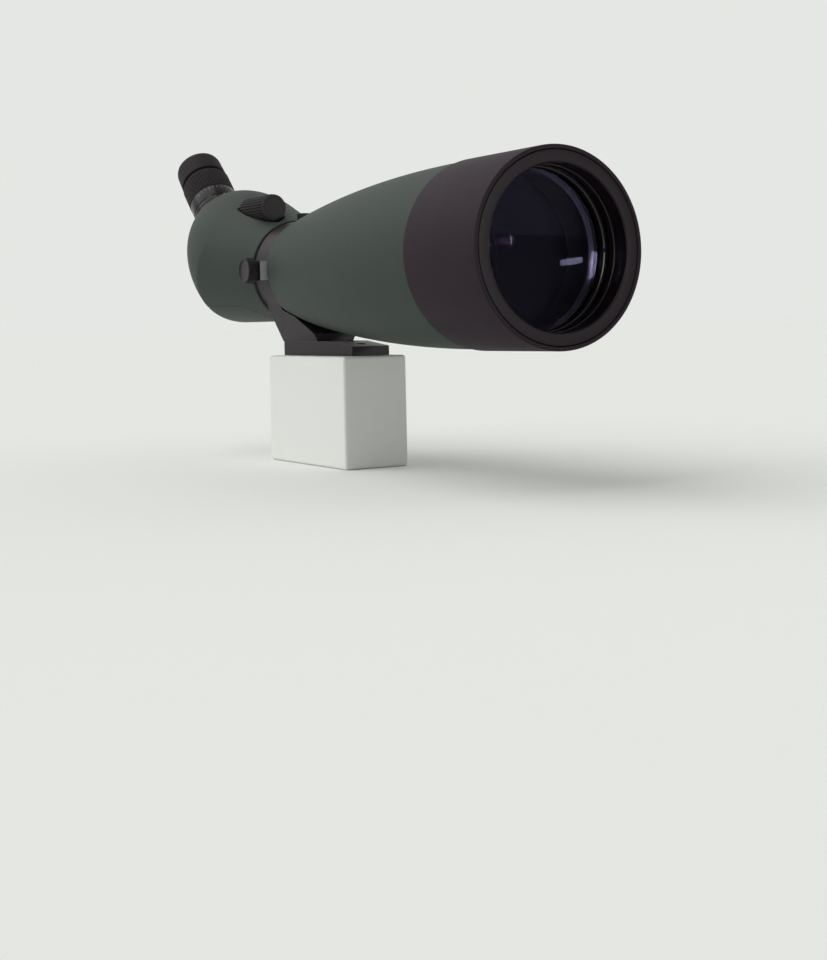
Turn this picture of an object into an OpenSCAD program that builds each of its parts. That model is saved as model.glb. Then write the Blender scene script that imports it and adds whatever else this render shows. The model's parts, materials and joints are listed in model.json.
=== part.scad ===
// Angled zoom spotting scope with a rotating tripod collar.
// +X runs along the optical axis towards the objective, +Y to the user's left, +Z up.
// The origin is the mouth of the front tripod hole, on the underside of the foot.

/* [Optics] */
// Clear diameter of the objective lens
aperture_d = 92; // [80:1:94]
// Height of the optical axis over the underside of the foot
axis_h = 60.5; // [60:0.5:64]
// Distance from the front tripod hole forward to the lip of the sunshade
lip_x = 226; // [222:1:230]
// Slope of the eyepiece over the optical axis, in degrees
eyepiece_slope = 45; // [45:1:46]

/* [Barrel] */
// Outer diameter of the sunshade
shade_d = 114; // [112:0.5:116]
// Length of the sunshade
shade_len = 74; // [70:1:76]
// Diameter of the barrel just behind the sunshade
barrel_d = 112.2; // [110:0.2:113]
// Diameter of the barrel at its narrow end
waist_d = 73.6; // [70:0.2:76]
// Bend of the taper: 1 is a straight cone, and more keeps the front fuller
barrel_curve = 2.05; // [1.6:0.05:2.4]
// Thickness of the barrel wall
wall = 3; // [2:0.1:3.2]

/* [Collar and foot] */
// Outer diameter of the collar
collar_d = 72; // [71:0.5:74]
// Length of the collar along the barrel
collar_len = 20; // [18:0.5:20]
// Length of the foot
foot_len = 101; // [96:1:104]
// Width of the foot
foot_w = 28.4; // [25:0.1:30]
// Thickness of the foot at its rear
foot_rear_t = 9.8; // [9:0.1:10]
// Thickness of the foot at its front
foot_front_t = 6.3; // [6:0.1:7]
// Distance between the two tripod holes
hole_pitch = 17; // [16:0.5:18]
// Diameter of the quarter-inch tripod thread
tripod_thread_d = 6.35;

/* [Controls] */
// Diameter of the focus knob
focus_knob_d = 20; // [18:0.5:21]
// Length of the focus knob
focus_knob_len = 40; // [36:1:40]
// Diameter of the lock knob
lock_knob_d = 18.5; // [16:0.5:20]
// Diameter of the zoom ring over its ribs
zoom_ring_d = 39; // [38:0.2:40]
// Number of ribs on the zoom ring
zoom_ribs = 60; // [40:2:72]

/* [Hidden] */
$fn = 72;

// Gaps: a running fit, and a fit between parts that are fixed together
run = 0.05;
fixed = 0.03;

// Stations along the optical axis, all measured from the front tripod hole
shade_rear_x = lip_x - shade_len;
shade_in_r = shade_d / 2 - 3.5;
nose_r = shade_in_r - 0.9;
cell_front_x = lip_x - 20;
flange_rear_x = cell_front_x - 8;
lens_r = aperture_d / 2 + 1.2;
cell_r = 50;
waist_x = -68;
neck_r = 30.25;
collar_rear_x = waist_x - 1.5 - collar_len;
housing_x = collar_rear_x - 1.5;
front_wall = 8;

// Stations of the taper, from the sunshade back to the waist
taper_x0 = shade_rear_x - 1.2;
taper_x = [for (i = [0:20]) taper_x0 + (waist_x + 1 - taper_x0) * i / 20];

// Sunshade lip: its bore, its length and the groove for the felt
lip_bore_r = nose_r + 0.35;
lip_len = 6.5;
felt_x0 = shade_rear_x + 1.5;
felt_len = 3.4;

// Prism: a 45 degree roof prism whose exit face looks along the eyepiece
prism_leg = 44;
prism_w = 30;
eye_cross_x = -178.4;
prism_x = eye_cross_x + prism_leg / 2 * (2 * cos(45) - 1);
prism_top = prism_leg / 2;
base_angle = 22.5;

// Focus drive
knob_y = -14.5;
knob_z = 47;
knob_front_x = -100;
knob_rear_x = knob_front_x - focus_knob_len;
knob_r = focus_knob_d / 2;
pocket_r = knob_r + 1;
pocket_x = knob_rear_x - 1.2;
pocket_wall = 2.4;
shaft_r = 2.5;
bushing_r = 3.1;
focus_lens_r = 17.85;
rod_r = 1.5;
rod_y = 25.5;
rod_z = -21.3;
arm_x = -153.7;
arm_t = 3.5;
focus_ring_x = -127;

// Housing: an egg that leans back towards the eyepiece, drawn out to a round front rim
egg_x = -159;
egg_z = 8;
egg_r = 50.4;
egg_rear = 77.4;
egg_front = 20;
egg_lean = 32;
rim_r = 37.5;
floor_z = -36;
seam_z = -23.8;
seam_bend_x = -126;
seam_front_x = -93;

// Eyepiece stations, measured up its own axis from the optical axis
seat_t = 70;
ring_t0 = 88.4;
ring_t1 = 109;
tube_r = 16;
tube_in_r = 14.6;
seat_r = 21;
seat_bore_r = 17;
scale_r = 19.3;
guide_r = 12.8;
guide_in_r = 11.7;
cam_r = 14.52;
sleeve_r = 17.2;
zoom_pin_r = 1.4;
zoom_lens_r = 10.1;
eye_lens_r = 12.5;
cup_t0 = 112.4;
cup_t1 = 131;
dot_t = 76.5;
pin_t = 98;
zoom_half = 60;
zoom_travel = 4;
lower_t = 80;
upper_t = 96;

// Collar and foot
foot_front_x = 12.4;
foot_top = foot_rear_t - axis_h;
collar_x = collar_rear_x + collar_len / 2;
lug_y = 41.3;
lug_z0 = -7;
lug_h = 13.6;
leg_z = -23;
leg_front_x = -37;
leg_toe_h = 5.2;

// Places of the screws
base_screw_x = -106;
base_screw_y = 8;
cage_screw_y = 40;
cage_screw_z = 8;
foot_screw_x = [-81, -60];
base_screw_r = 1.5;
cage_screw_r = 1.5;
foot_screw_r = 2.5;
lock_screw_r = 2.5;
shoe_r = 3;
lock_cap_r = 7.4;

//// Shared helpers

// Places children about the optical axis
module on_axis() translate([0, 0, axis_h]) children();

// Turns an outline of [x, radius] points about the optical axis
module turned(outline)
    on_axis() rotate([0, 90, 0]) rotate_extrude() polygon([for (p = outline) [p[1], p[0]]]);

// Places children with +Z along the eyepiece, from where it crosses the optical axis
module on_eyepiece()
    on_axis() translate([eye_cross_x, 0, 0]) rotate([0, eyepiece_slope - 90, 0]) children();

// Turns an outline of [station, radius] points about the eyepiece's axis
module turned_up(outline)
    on_eyepiece() rotate_extrude() polygon([for (p = outline) [p[1], p[0]]]);

// A rod along X from x0 to x1
module rod_x(r, x0, x1) translate([x0, 0, 0]) rotate([0, 90, 0]) cylinder(r = r, h = x1 - x0);

// Outline of a plain ring from a to b between two radii
function band(a, b, r_in, r_out) = [[a, r_in], [b, r_in], [b, r_out], [a, r_out]];

// Outline of a ring with a small chamfer on its two outer edges
function soft_band(a, b, r_in, r_out, c) =
    [[a, r_in], [b, r_in], [b, r_out - c], [b - c, r_out], [a + c, r_out], [a, r_out - c]];

// Depth of a sphere's cap at radius r: positive bulges out, negative is hollow, 0 is flat
function sag(r, curve) = curve == 0 ? 0 : sign(curve) * (abs(curve) - sqrt(curve * curve - r * r));

// Outline of a lens whose rim runs from a to b, with its curves given for the b and a sides
function lens_outline(a, b, r, curve_b, curve_a, steps = 10) = concat(
    [for (i = [0:steps]) let (q = r * i / steps) [b + sag(r, curve_b) - sag(q, curve_b), q]],
    [for (i = [steps:-1:0]) let (q = r * i / steps) [a - sag(r, curve_a) + sag(q, curve_a), q]]
);

// A knob with straight ribs, standing on z = 0
module ribbed(r, depth, count, len)
    linear_extrude(len) polygon([
        for (i = [0:count - 1], k = [0:3])
            let (a = 360 / count * (i + [0, 0.18, 0.52, 0.7][k]), q = k == 1 || k == 2 ? r : r - depth)
            [q * cos(a), q * sin(a)]
    ]);

//// Sunshade

module sunshade() color("#2b2c2e") turned([
    [shade_rear_x, lip_bore_r], [shade_rear_x, shade_d / 2 - 0.4], [shade_rear_x + 0.4, shade_d / 2],
    [lip_x - 1.4, shade_d / 2], [lip_x - 0.5, shade_d / 2 - 0.4], [lip_x, shade_d / 2 - 1.3],
    [lip_x, shade_in_r + 0.9], [lip_x - 5, shade_in_r + 0.9], [lip_x - 5, shade_in_r],
    [shade_rear_x + lip_len, shade_in_r], [shade_rear_x + lip_len, lip_bore_r],
    [felt_x0 + felt_len, lip_bore_r], [felt_x0 + felt_len, shade_in_r + 0.1],
    [felt_x0, shade_in_r + 0.1], [felt_x0, lip_bore_r]
]);

module shade_rim() color("#303133") turned([
    [lip_x - 16.5, lens_r - 0.4], [lip_x - 16.5, lens_r + 1.6], [lip_x - 5, lens_r + 1.6],
    [lip_x - 5, shade_in_r + 0.75], [lip_x - 0.9, shade_in_r + 0.75], [lip_x - 0.6, shade_in_r + 0.45],
    [lip_x - 0.6, lens_r + 0.3], [lip_x - 1.3, lens_r - 0.4]
]);

module shade_felt() color("#151515")
    turned(band(felt_x0 + 0.05, felt_x0 + felt_len - 0.05, nose_r + run, shade_in_r + 0.08));

//// Objective

module objective_cell() color("#1d1e20") turned([
    [flange_rear_x - 28, cell_r - 4.6], [cell_front_x - 16.1, cell_r - 4.6],
    [cell_front_x - 16.1, lens_r + 0.1], [cell_front_x, lens_r + 0.1],
    [cell_front_x, nose_r + 0.2], [cell_front_x - 0.4, nose_r + 0.6],
    [flange_rear_x, nose_r + 0.6], [flange_rear_x, cell_r], [flange_rear_x - 28, cell_r]
]);

module objective_front_lens() color("#8f9cc8", 0.6)
    turned(lens_outline(cell_front_x - 7, cell_front_x - 4, lens_r, 260, 260));

module lens_spacer() color("#202020")
    turned(band(cell_front_x - 7.58, cell_front_x - 7.17, lens_r - 0.8, lens_r));

module objective_rear_lens() color("#8f9cc8", 0.6)
    turned(lens_outline(cell_front_x - 15.95, cell_front_x - 7.6, lens_r, -255, 900));

module objective_retainer() color("#232426") turned([
    [cell_front_x - 3.7, aperture_d / 2], [cell_front_x - 3.7, lens_r + 0.05],
    [cell_front_x - 0.5, lens_r + 0.05], [cell_front_x - 0.5, lens_r - 0.6],
    [cell_front_x - 1.1, aperture_d / 2]
]);

module objective_seal() color("#101010") turned([
    for (a = [0:30:330]) [flange_rear_x - 1.2 + 0.75 * cos(a), cell_r + 0.95 + 0.75 * sin(a)]
]);

//// Barrel

// Radius of the taper at x, from the sunshade back to the waist
function taper_r(x) =
    let (front = shade_rear_x - 6, u = min(max((front - x) / (front - waist_x), 0), 1))
    barrel_d / 2 - (barrel_d - waist_d) / 2 * pow(u, barrel_curve);

// Radius inside the taper, whose wall thickens slowly towards the waist
function inner_r(x) = taper_r(x) - wall - (shade_rear_x - x) / 250;

module barrel() color("#33433b") turned(concat(
    [[flange_rear_x, cell_r + 1.9], [flange_rear_x, nose_r], [shade_rear_x - 0.6, nose_r],
     [shade_rear_x - 0.6, barrel_d / 2 - 0.5]],
    [for (x = taper_x) [x, taper_r(x)]],
    [[waist_x, waist_d / 2 - 1], [waist_x, neck_r], [housing_x - 12, neck_r],
     [housing_x - 12, neck_r - 4], [waist_x + 5, neck_r - 4]],
    [for (i = [17:-1:2]) [taper_x[i], inner_r(taper_x[i])]],
    [[shade_rear_x - 4, cell_r - 1], [flange_rear_x - 29, cell_r - 1],
     [flange_rear_x - 29, cell_r + fixed], [flange_rear_x - 2.2, cell_r + fixed],
     [flange_rear_x - 2.2, cell_r + 1.9]]
));

// A ring that rests in the taper, with a thin edge that trims stray light
module baffle(x, hole_r) color("#121212") turned([
    [x, hole_r], [x, inner_r(x) - 0.03], [x + 6, inner_r(x) - 0.03],
    [x + 6, inner_r(x) - 1.2], [x + 1.2, inner_r(x) - 1.2], [x + 1.2, hole_r]
]);

module front_baffle() baffle(80, 35);

module rear_baffle() baffle(0, 27.5);

//// Housing

// The egg, smaller all round by inset
module egg(inset)
    translate([egg_x, 0, egg_z]) rotate([0, 90 + egg_lean, 0]) rotate_extrude($fn = 48) polygon([
        for (a = [0:7.5:180])
            [(egg_r - inset) * sin(a), ((a < 90 ? egg_front : egg_rear) - inset) * cos(a)]
    ]);

// The closed outer form of the housing, or the room inside it when inset is the wall
module housing_form(inset, front_x)
    intersection() {
        hull() {
            rod_x(rim_r - inset, front_x - 1, front_x, $fn = 48);
            egg(inset);
        }
        translate([-260, -80, floor_z + inset]) cube([200, 160, 160]);
    }

// Height of the seam of the base cover at x
function seam_at(x) =
    seam_z - (seam_z - floor_z) * max(0, (x - seam_bend_x) / (seam_front_x - seam_bend_x));

// Places children at the two screws of the base cover, at height z
module at_base_screws(z)
    for (side = [-1, 1]) translate([base_screw_x, side * base_screw_y, z]) children();

// The region under the seam of the base cover
module seam_region(gap)
    rotate([90, 0, 0]) translate([0, 0, -80]) linear_extrude(160) polygon([
        [-250, seam_z - gap], [seam_bend_x, seam_z - gap], [seam_front_x, floor_z - gap],
        [seam_front_x, -60], [-250, -60]
    ]);

// A cylinder along the eyepiece's axis, in a frame whose z = 0 is the optical axis
module eyepiece_rod(r, t0, t1)
    translate([eye_cross_x, 0, 0]) rotate([0, eyepiece_slope - 90, 0])
        translate([0, 0, t0]) cylinder(r = r, h = t1 - t0);

// Parts of the housing's room that stay solid: knob pocket, eyepiece seat, lugs and the cover's cross bar
module housing_ribs() {
    translate([0, knob_y, knob_z]) rod_x(pocket_r + 2, pocket_x - pocket_wall, housing_x);
    eyepiece_rod(seat_r, 56, seat_t);
    for (side = [-1, 1])
        translate([prism_x + 3.4, side * 47 - 13, cage_screw_z - 6]) cube([11, 26, 12]);
    translate([base_screw_x - 5, -60, seam_at(base_screw_x) - 1]) cube([10, 120, 6]);
}

module housing() color("#33433b") on_axis() difference() {
    union() {
        housing_form(0, housing_x);
        eyepiece_rod(seat_r, 50, seat_t);
    }
    difference() {
        housing_form(wall, housing_x - front_wall);
        housing_ribs();
    }
    seam_region(0);
    rod_x(neck_r + fixed, housing_x - 20, housing_x + 5);
    translate([0, knob_y, knob_z]) rod_x(pocket_r, pocket_x, housing_x + 5);
    translate([0, knob_y, knob_z]) {
        rod_x(bushing_r + fixed, pocket_x - 5, pocket_x + 1);
        rod_x(bushing_r + 1.4, pocket_x - 12, pocket_x - pocket_wall);
    }
    eyepiece_rod(seat_bore_r + fixed, 40, 100);
    for (side = [-1, 1]) {
        translate([0, side * rod_y, rod_z]) {
            rod_x(rod_r + fixed, housing_x - 34, housing_x - 2);
            rod_x(3.6, focus_ring_x - 6, focus_ring_x + 8);
        }
        translate([0, side * cage_screw_y, cage_screw_z]) rod_x(cage_screw_r, prism_x + 2, prism_x + 14);
    }
    at_base_screws(seam_at(base_screw_x) - 2) cylinder(r = base_screw_r, h = 6);
}

module base_cover() color("#3a403c") on_axis() difference() {
    intersection() {
        difference() {
            housing_form(0, housing_x);
            difference() {
                housing_form(wall, housing_x - front_wall);
                at_base_screws(floor_z) cylinder(r = 4, h = 20);
            }
        }
        seam_region(0.15);
    }
    at_base_screws(floor_z - 1) {
        cylinder(r = base_screw_r + 0.1, h = 20);
        cylinder(r = 2 * base_screw_r, h = 2.6);
    }
}

module base_screws() color("#3c3c3c") on_axis() at_base_screws(floor_z + 0.1) {
    difference() {
        cylinder(r = 2 * base_screw_r - 0.2, h = 1.45);
        for (a = [0, 90]) rotate([0, 0, a]) translate([-1.8, -0.35, -1]) cube([3.6, 0.7, 1.8]);
    }
    translate([0, 0, 1.4]) cylinder(r = base_screw_r - run, h = seam_at(base_screw_x) - floor_z + 2);
}

//// Prism

// Places children at the prism's front corner, with +Z from its roof towards its apex
module on_roof() on_axis() translate([prism_x, 0, -prism_leg / 2]) rotate([0, base_angle, 0]) children();

// The side outline of the prism, standing on y = 0, thick each way by half of w
module prism_plate(w)
    on_axis() translate([prism_x, w / 2, prism_top]) rotate([90, 0, 0]) linear_extrude(w) polygon([
        [0, 0], [0, -prism_leg], [-prism_leg * sin(45), -prism_leg * cos(45)]
    ]);

module prism() color("#b8c4d0", 0.6) intersection() {
    prism_plate(prism_w);
    on_roof() rotate([45, 0, 0]) translate([-40, 0, 0]) cube([60, 60, 60]);
}

module prism_cage() color("#17181a") {
    difference() {
        on_axis() translate([prism_x + 0.1, 0, 0]) {
            intersection() {
                translate([0, -31, -27]) cube([3.2, 62, 51]);
                rod_x(36.2, -1, 4);
            }
            translate([0, -45, cage_screw_z - 6]) cube([3.2, 90, 12]);
        }
        on_axis() rod_x(15, prism_x - 5, prism_x + 5);
        for (side = [-1, 1]) on_axis() {
            translate([0, side * cage_screw_y, cage_screw_z])
                rod_x(cage_screw_r + 0.1, prism_x - 5, prism_x + 5);
            translate([0, side * rod_y, rod_z]) rod_x(rod_r + fixed, prism_x - 5, prism_x + 5);
        }
    }
    for (side = [-1, 1]) translate([0, side * (prism_w / 2 + 1.05), 0]) {
        prism_plate(2);
        on_axis() translate([prism_x - 3, -1, -18]) cube([3.3, 2, 34]);
    }
}

module prism_clip() color("#9a9a9a")
    on_roof() translate([-22, -prism_w / 2 - 2.05, -1.3]) cube([10, prism_w + 4.1, 1.2]);

module cage_screws() color("#8a8a8a") on_axis() for (side = [-1, 1])
    translate([0, side * cage_screw_y, cage_screw_z]) difference() {
        union() {
            rod_x(2.7, prism_x - 2, prism_x + 0.1);
            rod_x(cage_screw_r - run, prism_x, prism_x + 12);
        }
        translate([prism_x - 3, -1.9, -0.4]) cube([2, 3.8, 0.8]);
    }

//// Focusing

module guide_rods() color("#c0c0c0") on_axis() for (side = [-1, 1])
    translate([0, side * rod_y, rod_z]) rod_x(rod_r, prism_x + 0.2, housing_x - 2.2);

module focus_carriage() color("#202225") on_axis() difference() {
    union() {
        rod_x(21, focus_ring_x - 12, focus_ring_x);
        for (side = [-1, 1]) {
            translate([0, side * rod_y, rod_z]) rod_x(3, focus_ring_x - 12, focus_ring_x);
            rotate([side > 0 ? -39.9 : -140.1, 0, 0])
                translate([focus_ring_x - 12, 16, -2.5]) cube([12, 15, 5]);
        }
        translate([arm_x - arm_t, -12, 16]) cube([focus_ring_x - arm_x + arm_t, 6, 4.5]);
        translate([arm_x - arm_t, knob_y - 3, 16]) cube([arm_t, 9, knob_z - 16]);
        translate([0, knob_y, knob_z]) rod_x(5, arm_x - 9, arm_x);
    }
    rod_x(17.1, focus_ring_x - 13, focus_ring_x + 1);
    rod_x(focus_lens_r + run, focus_ring_x - 5, focus_ring_x + 1);
    for (side = [-1, 1]) translate([0, side * rod_y, rod_z])
        rod_x(rod_r + run, focus_ring_x - 13, focus_ring_x + 1);
    translate([0, knob_y, knob_z]) rod_x(shaft_r + run, arm_x - 20, arm_x + 5);
}

module focus_lens() color("#8f9cc8", 0.6)
    turned(lens_outline(focus_ring_x - 5, focus_ring_x - 1.4, focus_lens_r, -130, -180));

module focus_lens_ring() color("#1a1a1a")
    turned(band(focus_ring_x - 1.4, focus_ring_x - 0.2, 16.4, focus_lens_r));

module focus_bushing() color("#b08d57") on_axis() translate([0, knob_y, knob_z]) difference() {
    union() {
        rod_x(bushing_r, pocket_x - pocket_wall - 0.1, pocket_x - 0.1);
        rod_x(bushing_r + 1, pocket_x - pocket_wall - 1.1, pocket_x - pocket_wall);
    }
    rod_x(shaft_r + run, pocket_x - 10, pocket_x + 5);
}

module focus_shaft() color("#b5b5b5") on_axis() translate([0, knob_y, knob_z]) difference() {
    rod_x(shaft_r, -174, knob_front_x - 8);
    rotate([0, 90, 0]) translate([0, 0, pocket_x - pocket_wall - 2.2])
        rotate_extrude() translate([shaft_r - 0.6, 0]) square([2, 0.8]);
}

module focus_clip() color("#909090") on_axis() translate([0, knob_y, knob_z]) difference() {
    rod_x(4.2, pocket_x - pocket_wall - 2.15, pocket_x - pocket_wall - 1.45);
    rod_x(shaft_r - 0.55, -160, -130);
    translate([-160, -1.4, 0]) cube([40, 2.8, 10]);
}

module focus_knob() color("#1c1b1e") on_axis() translate([knob_rear_x, knob_y, knob_z])
    rotate([0, 90, 0]) difference() {
        ribbed(knob_r, 0.7, 28, focus_knob_len - 1.2);
        translate([0, 0, -1]) cylinder(r = shaft_r + fixed, h = focus_knob_len - 6.9);
    }

module focus_cap() color("#26252a") on_axis() translate([0, knob_y, knob_z]) union() {
    rod_x(knob_r - 0.3, knob_front_x - 1.2, knob_front_x - 0.3);
    rod_x(knob_r - 0.6, knob_front_x - 0.3, knob_front_x);
}

//// Eyepiece

// A wedge about the eyepiece's axis, from -half to +half degrees, standing from t0 to t1
module sector(half, t0, t1)
    on_eyepiece() translate([0, 0, t0]) linear_extrude(t1 - t0) polygon(concat(
        [[0, 0]], [for (a = [-half:half / 4:half]) 30 * [cos(a), sin(a)]]
    ));

// A pin or hole pointing away from the eyepiece's axis at station t and angle a
module spoke(r, from_r, to_r, t, a)
    on_eyepiece() rotate([0, 0, a]) translate([from_r, 0, t]) rotate([0, 90, 0])
        cylinder(r = r, h = to_r - from_r);

module eyepiece_barrel() color("#1b1b1d") difference() {
    turned_up([
        [58, tube_in_r], [58, seat_bore_r], [seat_t, seat_bore_r], [seat_t, scale_r - 0.1],
        [seat_t + 2.9, scale_r - 0.1], [seat_t + 2.9, tube_r], [ring_t1 + 6, tube_r], [ring_t1 + 6, tube_in_r]
    ]);
    // Slot for the drive pin, a little longer than its sweep
    intersection() {
        turned_up(band(pin_t - 1.9, pin_t + 1.9, 13, 18));
        sector(zoom_half + 8, pin_t - 3, pin_t + 3);
    }
}

module field_stop() color("#111111") turned_up(band(60, 61.2, 9.5, tube_in_r - run));

module scale_ring() color("#0b0b0c") difference() {
    turned_up(soft_band(seat_t + 3, ring_t0 - 0.25, tube_r + fixed, scale_r, 0.3));
    for (i = [0:12]) let (mark = i % 3 == 0 ? 3.4 : 2)
        on_eyepiece() rotate([0, 0, (i - 6) * 10])
            translate([scale_r - 0.15, -0.2, ring_t0 - 1.2 - mark]) cube([1, 0.4, mark]);
    spoke(1.03, 18.4, 21, dot_t, 0);
}

module index_dot() color("#c02018") spoke(1, 18.45, 19.2, dot_t, 0);

module zoom_guide() color("#2a2a2c") difference() {
    turned_up([
        [61.3, guide_in_r], [61.3, tube_in_r - run], [64, tube_in_r - run], [64, guide_r],
        [107.4, guide_r], [107.4, guide_in_r]
    ]);
    on_eyepiece() translate([-20, -1.3, lower_t - 8]) cube([20, 2.6, upper_t - lower_t + 16]);
}

module zoom_ring() color("#242327") difference() {
    on_eyepiece() translate([0, 0, ring_t0])
        ribbed(zoom_ring_d / 2, 0.55, zoom_ribs, ring_t1 - ring_t0);
    on_eyepiece() translate([0, 0, ring_t0 - 1]) cylinder(r = tube_r + run, h = 30);
    spoke(zoom_pin_r + fixed, 10, 18.3, pin_t, 0);
}

// A slanted slot in the cam tube, which lifts its pin by rise over the half turn of the ring
module cam_slot(t, rise)
    for (i = [-13:13]) let (a = i * 5) spoke(1.5, 11, 17, t + rise * a / zoom_half, 180 - a);

module zoom_cam() color("#6f6f70") difference() {
    turned_up(band(66, 106.5, guide_r + 0.07, cam_r));
    spoke(zoom_pin_r + fixed, 10, 18.3, pin_t, 0);
    cam_slot(lower_t, zoom_travel);
    cam_slot(upper_t, -zoom_travel);
}

module zoom_pin() color("#b5b5b5") spoke(zoom_pin_r, 13.2, 18.2, pin_t, 0);

// A sliding cell with its follower pin, whose lens rests on a step at its lower end
module zoom_cell(t) {
    turned_up([
        [t - 3, 8.8], [t - 3, guide_in_r - 0.08], [t + 3, guide_in_r - 0.08],
        [t + 3, zoom_lens_r + 0.1], [t - 2, zoom_lens_r + 0.1], [t - 2, 8.8]
    ]);
    spoke(1.2, 11, 14.3, t, 180);
}

module lower_zoom_cell() color("#2f2f31") zoom_cell(lower_t);

module lower_zoom_lens() color("#8f9cc8", 0.6)
    turned_up(lens_outline(lower_t - 1.9, lower_t + 1.5, zoom_lens_r, -32, -60));

module upper_zoom_cell() color("#2f2f31") zoom_cell(upper_t);

module upper_zoom_lens() color("#8f9cc8", 0.6)
    turned_up(lens_outline(upper_t - 1.9, upper_t - 0.4, zoom_lens_r, 30, 0));

module eye_cell() color("#1b1b1d") turned_up([
    [107.6, 11.6], [107.6, tube_in_r - run], [118, tube_in_r - run], [118, eye_lens_r + 0.1],
    [110.6, eye_lens_r + 0.1], [110.6, 11.6]
]);

module eye_lens() color("#8f9cc8", 0.6) 
    turned_up(lens_outline(110.95, 113.3, eye_lens_r, 34, 60));

module eye_lens_ring() color("#1a1a1a") 
    turned_up(band(113.7, 117.6, 11.4, eye_lens_r + run));

module eyecup_sleeve() color("#1d1d1f") turned_up([
    [ring_t1 + 0.25, tube_r + fixed], [ring_t1 + 0.25, sleeve_r], [120, sleeve_r], [120, 13.4],
    [118.6, 13.4], [118.6, tube_r + fixed]
]);

module eyecup() color("#2a292c") turned_up([
    [cup_t0, sleeve_r + run], [cup_t0, 18.6], [cup_t0 + 0.4, 18.9], [cup_t1 - 3, 18.4], [cup_t1 - 1, 17.9],
    [cup_t1, 16.9], [cup_t1 - 0.2, 15.9], [cup_t1 - 1.2, 15.6], [cup_t1 - 4, 16.4], [120.1, 16.6],
    [120.1, sleeve_r + run]
]);

//// Collar and foot

// The leg's outline from the front: as wide as the ring at the top and as the foot below
module leg_front()
    rotate([90, 0, 90]) translate([0, 0, -150]) linear_extrude(200) polygon([
        [-collar_d / 2 + 0.4, -6], [collar_d / 2 - 0.4, -6], [foot_w / 2, foot_top], [-foot_w / 2, foot_top]
    ]);

// The leg's outline from the side: straight behind, and sweeping forward down to the foot
module leg_side()
    rotate([90, 0, 0]) translate([0, 0, -50]) linear_extrude(100) polygon([
        [collar_rear_x, -4], [collar_rear_x + collar_len, -4], [collar_rear_x + collar_len, leg_z],
        [leg_front_x, foot_top + leg_toe_h], [leg_front_x, foot_top], [collar_rear_x, foot_top]
    ]);

// The barrel's taper with some room round it, which scoops out the front of the leg
module taper_room() rotate([0, 90, 0]) rotate_extrude() polygon(concat(
    [[0, waist_x - 0.7], [waist_d / 2 + 1, waist_x - 0.7]],
    [for (x = [waist_x + 1:8:0]) [taper_r(x) + 1, x]],
    [[0, 0]]
));

module collar() color("#3b3a3c") on_axis() difference() {
    union() {
        rod_x(collar_d / 2, collar_rear_x, collar_rear_x + collar_len);
        intersection() {
            leg_front();
            leg_side();
        }
        translate([collar_rear_x, -lug_y, lug_z0]) cube([collar_len, 14, lug_h]);
        translate([collar_x - 4.5, -4, 30]) cube([9, 8, 11.3]);
    }
    taper_room();
    rod_x(neck_r + 1.05, collar_rear_x - 1, collar_rear_x + collar_len + 1);
    translate([collar_x, 0, 0]) rotate([90, 0, 0]) {
        cylinder(r = shoe_r + run, h = 34.5);
        cylinder(r = lock_screw_r + fixed, h = 60);
    }
    for (x = foot_screw_x) translate([x, 0, foot_top - 1]) cylinder(r = foot_screw_r, h = 8.5);
}

module collar_liner() color("#151515") difference() {
    turned(band(collar_rear_x + 0.5, collar_rear_x + collar_len - 0.5, neck_r + run, neck_r + 1));
    on_axis() translate([collar_x, 0, 0]) rotate([90, 0, 0]) cylinder(r = shoe_r + 0.1, h = 60);
}

module foot_plate() color("#3b3a3c") difference() {
    intersection() {
        translate([0, foot_w / 2, 0]) rotate([90, 0, 0]) linear_extrude(foot_w) polygon([
            [foot_front_x - foot_len, 0], [foot_front_x, 0], [foot_front_x, foot_front_t],
            [-hole_pitch, foot_rear_t], [foot_front_x - foot_len, foot_rear_t]
        ]);
        linear_extrude(30) polygon([
            [foot_front_x - foot_len, -foot_w / 2], [foot_front_x - 1, -foot_w / 2],
            [foot_front_x, -foot_w / 2 + 1], [foot_front_x, foot_w / 2 - 1],
            [foot_front_x - 1, foot_w / 2], [foot_front_x - foot_len, foot_w / 2]
        ]);
    }
    for (x = [0, -hole_pitch]) translate([x, 0, -1]) cylinder(d = tripod_thread_d, h = 30);
    for (x = foot_screw_x) translate([x, 0, -1]) {
        cylinder(r = foot_screw_r, h = 30);
        cylinder(r = foot_screw_r + 2.1, h = 4.3);
    }
}

module foot_screws() color("#606060") for (x = foot_screw_x) translate([x, 0, 0.4]) {
    difference() {
        cylinder(r = foot_screw_r + 1.9, h = 2.9);
        translate([0, 0, -1]) cylinder(r = 2.3, h = 2.6, $fn = 6);
    }
    translate([0, 0, 2.8]) cylinder(r = foot_screw_r - 0.04, h = foot_rear_t + 3.6);
}

//// Collar lock

// A cylinder pointing to the user's right from the optical axis, between two distances
module lock_rod(r, y0, y1)
    on_axis() translate([collar_x, -y0, 0]) rotate([90, 0, 0]) cylinder(r = r, h = y1 - y0);

module lock_screw() color("#b5b5b5") lock_rod(lock_screw_r, 33, lug_y + 6);

module clamp_shoe() color("#b08d57") lock_rod(shoe_r, neck_r + 0.04, 32.95);

module lock_knob() color("#1c1b1e") difference() {
    on_axis() translate([collar_x, -lug_y - 0.5, 0]) rotate([90, 0, 0])
        ribbed(lock_knob_d / 2, 0.4, 40, 7.6);
    lock_rod(lock_screw_r + fixed, 30, lug_y + 6.05);
    lock_rod(lock_cap_r + fixed, lug_y + 7.3, lug_y + 10);
}

module lock_cap() color("#4a4347") lock_rod(lock_cap_r, lug_y + 7.32, lug_y + 8);

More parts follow.
